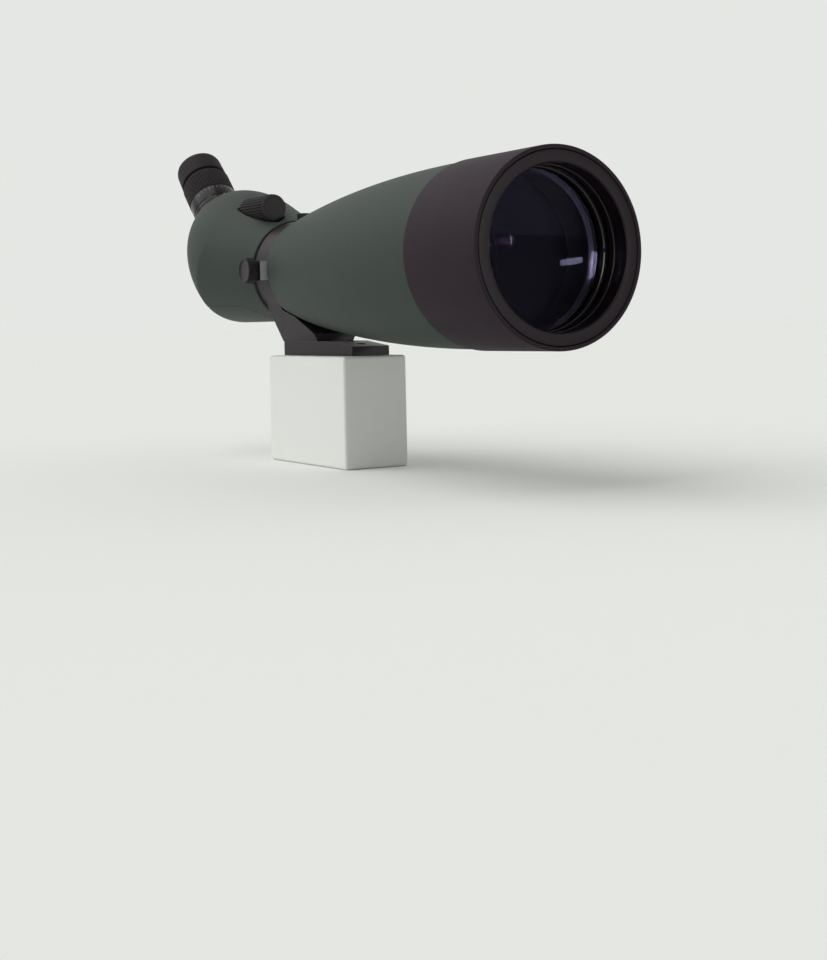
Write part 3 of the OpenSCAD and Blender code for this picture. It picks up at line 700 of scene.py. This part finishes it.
def housing():
    """The prism housing, with its hollow, the openings into it and the room for the guide rods."""
    piece = housing_form("prism_housing", 0, HOUSING_X)
    seat_foot = 50
    seat_outline = [(seat_foot, 0), (seat_foot, SEAT_R), (SEAT_TOP, SEAT_R), (SEAT_TOP, 0)]
    seat = turned("tool", rounded(seat_outline, 0.8), EYEPIECE, 120)
    carve(piece, seat, "UNION")
    carve(piece, room_inside())
    carve(piece, seam_region(0))
    carve(piece, cylinder(OPTICAL, HOUSING_X - 20, HOUSING_X + 5, NECK_R + 0.03))
    pocket = turned("tool", rounded([(POCKET_X, 0), (POCKET_X, POCKET_R), (HOUSING_X + 5, POCKET_R),
                                     (HOUSING_X + 5, 0)], 0.6), FOCUS, 96)
    carve(piece, pocket)
    carve(piece, cylinder(FOCUS, POCKET_X - 12, POCKET_X + 1, BUSHING_FIT_R))
    carve(piece, cylinder(EYEPIECE, 40, 100, SPIGOT_R + 0.03))
    for side in (-1, 1):
        rod = (Matrix.Translation((0, side * ROD_Y * MM, ROD_Z * MM))
               @ Matrix.Rotation(math.radians(90), 4, "Y"))
        carve(piece, cylinder(rod, CARRIAGE_FRONT - 6, CARRIAGE_FRONT + 8, ROD_ROOM_R, 48))
    even_normals(piece)
    dress(piece, GREEN, "scope", "green_body", "housing")


def cover_shell(name, inset, drop):
    """The housing's wall under the seam, with its outer skin set in by inset."""
    shell = housing_form(name, inset, HOUSING_X)
    carve(shell, housing_form("tool_room", WALL, ROOM_FRONT))
    carve(shell, seam_region(drop), "INTERSECT")
    return shell


def base_cover():
    """The cover plate, with two stepped screw holes. A tongue behind its edge closes the seam."""
    head_r = 3
    head_h = 1.6
    hole_r = 1.6
    through = 8
    piece = cover_shell("base_cover_plate", 0, 0.25)
    carve(piece, cover_shell("tool_tongue", TONGUE_INSET, 0.02), "UNION")
    for side in (-1, 1):
        place = ON_AXIS @ Matrix.Translation((BASE_SCREW_X * MM, side * BASE_SCREW_Y * MM, FLOOR_Z * MM))
        carve(piece, turned("tool", [(-1, 0), (-1, head_r), (head_h, head_r), (head_h, hole_r),
                                     (through, hole_r), (through, 0)], place, 48))
    dress(piece, GREEN, "scope", "green_body", "base_cover")


# ---------------------------------------------------------------- focus knob
def focus_knob():
    """The ribbed rubber knob, and the flat cap in its front end."""
    radius = (high("focus_knob").z - low("focus_knob").z) / 2
    front = KNOB_FRONT - 1.2
    bore_end = front - 6
    outline = rounded([
        (KNOB_REAR, SHAFT_FIT_R), (KNOB_REAR, radius), (front, radius), (front, 0), (bore_end, 0),
        (bore_end, SHAFT_FIT_R)
    ], 0.9, 4)
    piece = turned("focus_knob_grip", outline, FOCUS, ribs=(28, 0.8, 6))
    dress(piece, RUBBER, "focus_drive", "rubber", "focus_knob")
    cap_r = radius - 0.3
    cap_back = front + 0.02
    dish = KNOB_FRONT - 0.25
    cap = turned("focus_knob_cap", rounded([
        (cap_back, 0), (cap_back, cap_r), (KNOB_FRONT, cap_r), (KNOB_FRONT, 7.6), (dish, 7.1), (dish, 0)
    ], 0.45, 4), FOCUS, 96)
    dress(cap, KNOB_BLACK, "focus_drive", "black_plastic", "focus_cap")


# ---------------------------------------------------------------- eyepiece
def eyepiece_barrel():
    """The fixed tube that the rings turn on, with the flange that rests on the housing's seat."""
    foot = 58
    top = RING_END + 6
    in_r = 14.6
    flange_r = 19.2
    flange_top = SEAT_TOP + 2.9
    outline = rounded([
        (foot, in_r), (foot, SPIGOT_R), (SEAT_TOP, SPIGOT_R), (SEAT_TOP, flange_r),
        (flange_top, flange_r), (flange_top, TUBE_R), (top, TUBE_R), (top, in_r)
    ], 0.25, 3)
    piece = turned("eyepiece_tube", outline, EYEPIECE, 120)
    dress(piece, GLOSS_BLACK, "scope", "black_metal", "eyepiece_barrel")


MARK_COUNT = 13
MARK_STEP_DEGREES = 10
MARK_LONG = 3.4
MARK_SHORT = 2.0
MARK_WIDE = 0.34
MARK_THICK = 0.12


def scale_ring():
    """The glossy ring below the zoom grip, with its scale marks."""
    start = SEAT_TOP + 3
    end = RING_START - 0.25
    groove_r = SCALE_R - 0.35
    piece = turned("zoom_scale_ring", rounded([
        (start, TUBE_FIT_R), (start, SCALE_R), (start + 3.2, SCALE_R), (start + 3.6, groove_r),
        (start + 4.2, groove_r), (start + 4.6, SCALE_R), (end, SCALE_R), (end, TUBE_FIT_R)
    ], 0.3, 3), EYEPIECE, 144)
    dress(piece, GLOSS_BLACK, "scope", "gloss_black", "scale_ring")
    scale_marks(end - 1.2)


def scale_marks(top):
    """The scale's plain painted marks, every third one long, all ending at station top."""
    bm = bmesh.new()
    half = MARK_COUNT // 2
    for i in range(MARK_COUNT):
        length = MARK_LONG if i % 3 == 0 else MARK_SHORT
        place = (Matrix.Rotation(math.radians((i - half) * MARK_STEP_DEGREES), 4, "Z")
                 @ Matrix.Translation(((SCALE_R - 0.03) * MM, 0, (top - length / 2) * MM)))
        size = Matrix.Diagonal((MARK_THICK, MARK_WIDE, length, 1))
        bmesh.ops.create_cube(bm, size=MM, matrix=place @ size)
    bm.transform(EYEPIECE)
    marks = make_piece("zoom_scale_marks", bm)
    soften(marks, 0.04, 2)
    dress(marks, MARK_WHITE, "scope", "gloss_black")


def index_dot():
    """The red dot on the scale ring's upper side."""
    station = 76.5
    place = EYEPIECE @ Matrix.Translation((0, 0, station * MM)) @ Matrix.Rotation(math.radians(90), 4, "Y")
    dot = turned("index_dot_paint", [(18.45, 0), (18.45, 1), (19.28, 1), (19.36, 0.7), (19.38, 0)], place, 32)
    dress(dot, RED, "scope", "red_dot", "index_dot")


def zoom_ring():
    """The ribbed grip that turns on the tube."""
    radius = (high("zoom_ring").y - low("zoom_ring").y) / 2
    bore_r = TUBE_R + 0.05
    outline = rounded([
        (RING_START, bore_r), (RING_START, radius), (RING_END, radius), (RING_END, bore_r)
    ], 0.8, 4)
    piece = turned("zoom_grip", outline, EYEPIECE, ribs=(60, 0.6, 17.5))
    dress(piece, RUBBER, "zoom_drive", "rubber", "zoom_ring")


def eyecup():
    """The sleeve on the eyepiece's end, and the rubber cup on the sleeve."""
    foot = RING_END + 0.25
    sleeve_r = 17.2
    sleeve_top = 120
    end_wall = 118.6
    eye_hole_r = 13.4
    sleeve = turned("eyecup_tube", rounded([
        (foot, TUBE_FIT_R), (foot, sleeve_r), (sleeve_top, sleeve_r), (sleeve_top, eye_hole_r),
        (end_wall, eye_hole_r), (end_wall, TUBE_FIT_R)
    ], 0.25, 3), EYEPIECE, 120)
    dress(sleeve, KNOB_BLACK, "scope", "black_plastic", "eyecup_sleeve")
    cup_in_r = 17.25
    cup_step = 120.1
    cup = turned("eyecup_rubber", rounded([
        (CUP_START, cup_in_r), (CUP_START, 18.85), (CUP_START + 1.6, 18.9), (CUP_END - 3.2, 18.45),
        (CUP_END - 0.6, 17.6), (CUP_END, 16.5), (CUP_END - 0.9, 15.7), (CUP_END - 4, 16.3),
        (cup_step, 16.6), (cup_step, cup_in_r)
    ], 0.9, 5), EYEPIECE, 144)
    dress(cup, RUBBER, "scope", "rubber", "eyecup")


# ---------------------------------------------------------------- collar and foot
LUG_Y = 41.3
LUG_LOW = -7.0
LUG_HIGH = 6.6
LUG_ROOT_Y = 27
COLLAR_R = 36.0
LINER_FIT_R = NECK_R + 1.05
LOCK_HOLE_R = 2.56
LEG_Z = -23.0
LEG_FRONT_X = -37.0
LEG_TOE_H = 5.2
LEG_TOP = -6
TOP_LUG_HALF_LEN = 4.5
TOP_LUG_HALF_W = 4
FOOT_SCREW_X = (-81, -60)
FOOT_SCREW_R = 2.5
FOOT_JOIN = FOOT_TOP - AXIS_Z
BARREL_AIR = 1


def leg_width(z):
    """Half the leg's width at height z: the ring's at the top and the foot's below."""
    share = min(1.0, max(0.0, (LEG_TOP - z) / (LEG_TOP - FOOT_JOIN)))
    return (COLLAR_R - 0.4) + (FOOT_HALF_W - COLLAR_R + 0.4) * share


def barrel_room():
    """The space that the barrel needs in front of the collar, with a little air round it."""
    front = 8
    rear = WAIST_X - 0.7
    stations = [WAIST_X + 1 + (front - WAIST_X - 1) * i / 24 for i in range(25)]
    outline = [(rear, 0), (rear, WAIST_R + BARREL_AIR)]
    outline += [(x, taper_r(x) + BARREL_AIR) for x in stations]
    outline.append((front, 0))
    return turned("tool", outline, OPTICAL, 144)


def collar():
    """The ring, the side lug, the top lug and the leg, in one casting."""
    end = COLLAR_REAR + COLLAR_LEN
    piece = turned("collar_ring", [(COLLAR_REAR, 0), (COLLAR_REAR, COLLAR_R), (end, COLLAR_R), (end, 0)],
                   OPTICAL, 120)
    leg_side = [(COLLAR_REAR, LEG_TOP), (end, LEG_TOP), (end, LEG_Z), (LEG_FRONT_X, FOOT_JOIN + LEG_TOE_H),
                (LEG_FRONT_X, FOOT_JOIN), (COLLAR_REAR, FOOT_JOIN)]
    leg = prism("tool", leg_side, 0, 0, width_at=leg_width)
    lug = prism("tool", [(COLLAR_REAR, LUG_LOW), (end, LUG_LOW), (end, LUG_HIGH), (COLLAR_REAR, LUG_HIGH)],
                -LUG_Y, -LUG_ROOT_Y)
    top_rear = COLLAR_X - TOP_LUG_HALF_LEN
    top_front = COLLAR_X + TOP_LUG_HALF_LEN
    top = prism("tool", [(top_rear, 30), (top_front, 30), (top_front, LUG_Y), (top_rear, LUG_Y)],
                -TOP_LUG_HALF_W, TOP_LUG_HALF_W)
    for tool in (leg, lug, top):
        carve(piece, tool, "UNION")
    carve(piece, barrel_room())
    carve(piece, cylinder(OPTICAL, COLLAR_REAR - 1, end + 1, LINER_FIT_R, 120))
    carve(piece, cylinder(LOCK, 25, 60, LOCK_HOLE_R, 32))
    for x in FOOT_SCREW_X:
        place = ON_AXIS @ Matrix.Translation((x * MM, 0, 0))
        carve(piece, cylinder(place, FOOT_JOIN - 1, FOOT_JOIN + 7.5, FOOT_SCREW_R, 32))
    soften(piece, 0.55)
    dress(piece, COLLAR_GREY, "mount", "grey_metal", "collar")
    # The side lug's forward face gets the painted highlight, lighter than the rest of the casting
    paint_faces(piece, LUG_FACE_PAINTED_HIGHLIGHT, lambda face: (
        face.normal.x > 0.95 and face.center.y < -NECK_R * MM and face.center.z > (AXIS_Z + LUG_LOW) * MM))


TRIPOD_HOLE_X = (0, -17)
TRIPOD_HOLE_R = 3.175


def foot_plate():
    """The long foot, with two tripod holes and two holes for sunk socket screws."""
    front_h = 6.3
    slope_x = -17
    side = [(FOOT_REAR, 0), (FOOT_FRONT, 0), (FOOT_FRONT, front_h), (slope_x, FOOT_TOP),
            (FOOT_REAR, FOOT_TOP)]
    piece = prism("foot_bar", side, -FOOT_HALF_W, FOOT_HALF_W, Matrix.Identity(4))
    for x in TRIPOD_HOLE_X:
        place = Matrix.Translation((x * MM, 0, 0))
        carve(piece, turned("tool", [(-1, 0), (-1, 4.2), (0, 3.6), (0.5, TRIPOD_HOLE_R),
                                     (12, TRIPOD_HOLE_R), (12, 0)], place, 64))
    head_r = 4.6
    head_h = 3.3
    for x in FOOT_SCREW_X:
        place = Matrix.Translation((x * MM, 0, 0))
        carve(piece, turned("tool", [(-1, 0), (-1, head_r), (head_h, head_r), (head_h, FOOT_SCREW_R),
                                     (20, FOOT_SCREW_R), (20, 0)], place, 64))
    soften(piece, 0.6)
    dress(piece, COLLAR_GREY, "mount", "grey_metal", "foot_plate")
    # The sloped top face gets the painted light, lighter than the rest of the foot
    paint_faces(piece, FOOT_TOP_PAINTED_LIGHT, lambda face: 0.98 < face.normal.z < 0.999)


def lock_knob():
    """The ribbed knob that locks the collar, and the dished cap in its end."""
    start = -high("lock_knob").y
    end = -low("lock_knob").y
    radius = (high("lock_knob").z - low("lock_knob").z) / 2
    cap_seat = end - 1.8
    seat_r = 7.45
    outline = rounded([
        (start, SHAFT_FIT_R), (start, radius), (end, radius), (end, seat_r), (cap_seat, seat_r),
        (cap_seat, SHAFT_FIT_R)
    ], 0.7, 4)
    piece = turned("lock_knob_grip", outline, LOCK, ribs=(40, 0.45, 7.8))
    dress(piece, KNOB_BLACK, "lock_knob", "rubber", "lock_knob")
    cap_r = 7.4
    cap_back = end - 1.75
    cap = turned("lock_knob_cap", rounded([
        (cap_back, 0), (cap_back, cap_r), (end - 0.5, cap_r), (end - 0.9, 6.4), (end - 1.1, 0)
    ], 0.3, 4), LOCK, 96)
    dress(cap, SATIN_CAP, "lock_knob", "satin_cap", "lock_cap")


# ---------------------------------------------------------------- all pieces
sunshade()
sunshade_rim()
visible_lenses()
objective_retainer()
barrel()
housing()
base_cover()
focus_knob()
eyepiece_barrel()
scale_ring()
index_dot()
zoom_ring()
eyecup()
collar()
foot_plate()
lock_knob()

CAD_MATERIALS = {
    FELT: ["shade_felt"],
    CELL_BLACK: ["objective_cell", "focus_lens_ring", "eye_lens_ring", "eye_cell"],
    INSIDE_BLACK: ["front_baffle", "rear_baffle", "field_stop", "prism_cage", "lens_spacer", "focus_carriage",
                   "zoom_guide", "lower_zoom_cell", "upper_zoom_cell", "collar_liner", "objective_seal"],
    INNER_GLASS: ["focus_lens", "lower_zoom_lens", "upper_zoom_lens"],
    PRISM_GLASS: ["prism"],
    STEEL: ["prism_clip", "cage_screws", "guide_rods", "focus_shaft", "focus_clip", "zoom_cam", "zoom_pin",
            "lock_screw"],
    DARK_STEEL: ["base_screws", "foot_screws"],
    BRASS: ["focus_bushing", "clamp_shoe"],
}
for material, nodes in CAD_MATERIALS.items():
    for node in nodes:
        slots = frame["nodes"][node].data.materials
        slots.clear()
        slots.append(material)


# ---------------------------------------------------------------- stage, lights and camera
def stage():
    """A wide pale floor, and a low riser under the foot that leaves room for the scope to turn."""
    pale = coat_material("stage_pale", (0.82, 0.83, 0.805), 0.9, grain_mm=3, bump=0.03, vary=0.012,
                         level=0.0, patch_mm=400)
    floor_z = -75
    floor_r = 30000
    under = floor_z - 50
    floor = turned("stage_floor", [(floor_z, 0), (floor_z, floor_r), (under, floor_r), (under, 0)],
                   Matrix.Identity(4), 96)
    rear = FOOT_REAR - 6
    front = FOOT_FRONT + 6
    top = -0.2
    half_w = 24
    riser = prism("stage_riser", [(rear, floor_z), (front, floor_z), (front, top), (rear, top)],
                  -half_w, half_w, Matrix.Identity(4))
    soften(riser, 2)
    for thing in (floor, riser):
        thing.data.materials.append(pale)


FAR_LIGHT = 0.80
NEAR_LIGHT = 0.29
TO_BRIGHT_WALL = (-0.85, 0.52, 0)
KEY_DIRECTION = (0.42, 0.70, -1.0)
KEY_STRENGTH = 1.75
KEY_SPREAD_DEGREES = 70


def room_light():
    """The soft light of a pale room: brighter on the wall behind the scope than on the near side."""
    world = bpy.data.worlds.new("pale room")
    world.use_nodes = True
    tree = world.node_tree
    add = node_maker(tree)
    where = add("ShaderNodeTexCoord").outputs["Generated"]
    along = add("ShaderNodeVectorMath", {"operation": "DOT_PRODUCT"})
    tree.links.new(where, along.inputs[0])
    along.inputs[1].default_value = TO_BRIGHT_WALL
    tone = add("ShaderNodeMapRange", {"interpolation_type": "SMOOTHSTEP"}, Value=along.outputs["Value"],
               From_Min=-0.6, From_Max=0.7, To_Min=NEAR_LIGHT, To_Max=FAR_LIGHT)
    shade = tree.nodes["Background"]
    shade.inputs["Color"].default_value = (0.985, 1.0, 0.97, 1)
    tree.links.new(tone.outputs["Result"], shade.inputs["Strength"])
    bpy.context.scene.world = world


def key_light():
    """One broad soft light, high on the scope's right side."""
    data = bpy.data.lights.new("key", "SUN")
    data.energy = KEY_STRENGTH
    data.angle = math.radians(KEY_SPREAD_DEGREES)
    key = bpy.data.objects.new("key", data)
    key.rotation_mode = "QUATERNION"
    key.rotation_quaternion = Vector(KEY_DIRECTION).to_track_quat("-Z", "Y")
    bpy.context.scene.collection.objects.link(key)


def glint_light(name, centre, aim, width, height, radiance, tilt=0.0):
    """A lamp that lights nothing matt and shows only in shiny surfaces.

    centre, aim, width and height are in metres."""
    data = bpy.data.lights.new(name, "AREA")
    data.shape = "RECTANGLE"
    data.size = width
    data.size_y = height
    data.energy = radiance * math.pi * width * height
    lamp = bpy.data.objects.new(name, data)
    lamp.location = centre
    lamp.rotation_mode = "QUATERNION"
    turn = (Vector(aim) - Vector(centre)).to_track_quat("-Z", "Y").to_matrix().to_4x4()
    lamp.rotation_quaternion = (turn @ Matrix.Rotation(tilt, 4, "Z")).to_quaternion()
    lamp.visible_diffuse = False
    bpy.context.scene.collection.objects.link(lamp)


def lights():
    """The room, the key light, and two lamps that the lens and the smooth coats reflect."""
    room_light()
    key_light()
    lens_place = (CELL_FRONT * MM, 0.03, AXIS_Z * MM)
    glint_light("lamp in the lens", (2.543, 0.901, 0.256), lens_place, width=0.50, height=0.05,
                radiance=200, tilt=math.radians(6))
    glint_light("window behind the camera", (2.1, -1.75, 0.75), lens_place, width=0.5, height=1.1,
                radiance=14)
    bpy.context.scene.view_settings.view_transform = "Standard"


def camera():
    """The main view: a little under the optical axis, ahead of the scope and to its right."""
    data = bpy.data.cameras.new("view")
    data.sensor_width = 36
    data.lens = 56.14
    data.shift_y = -0.177
    eye = bpy.data.objects.new("view", data)
    eye.location = (0.8839, -0.4951, 0.0209)
    azimuth = math.radians(58.73)
    rise = math.radians(0.5)
    roll = math.radians(-1.31)
    level = math.cos(rise)
    forward = Vector((-math.sin(azimuth) * level, math.cos(azimuth) * level, math.sin(rise)))
    eye.rotation_mode = "QUATERNION"
    turn = forward.to_track_quat("-Z", "Y").to_matrix().to_4x4() @ Matrix.Rotation(roll, 4, "Z")
    eye.rotation_quaternion = turn.to_quaternion()
    data.clip_start = 0.01
    data.clip_end = 50
    bpy.context.scene.collection.objects.link(eye)
    bpy.context.scene.camera = eye


stage()
lights()
camera()
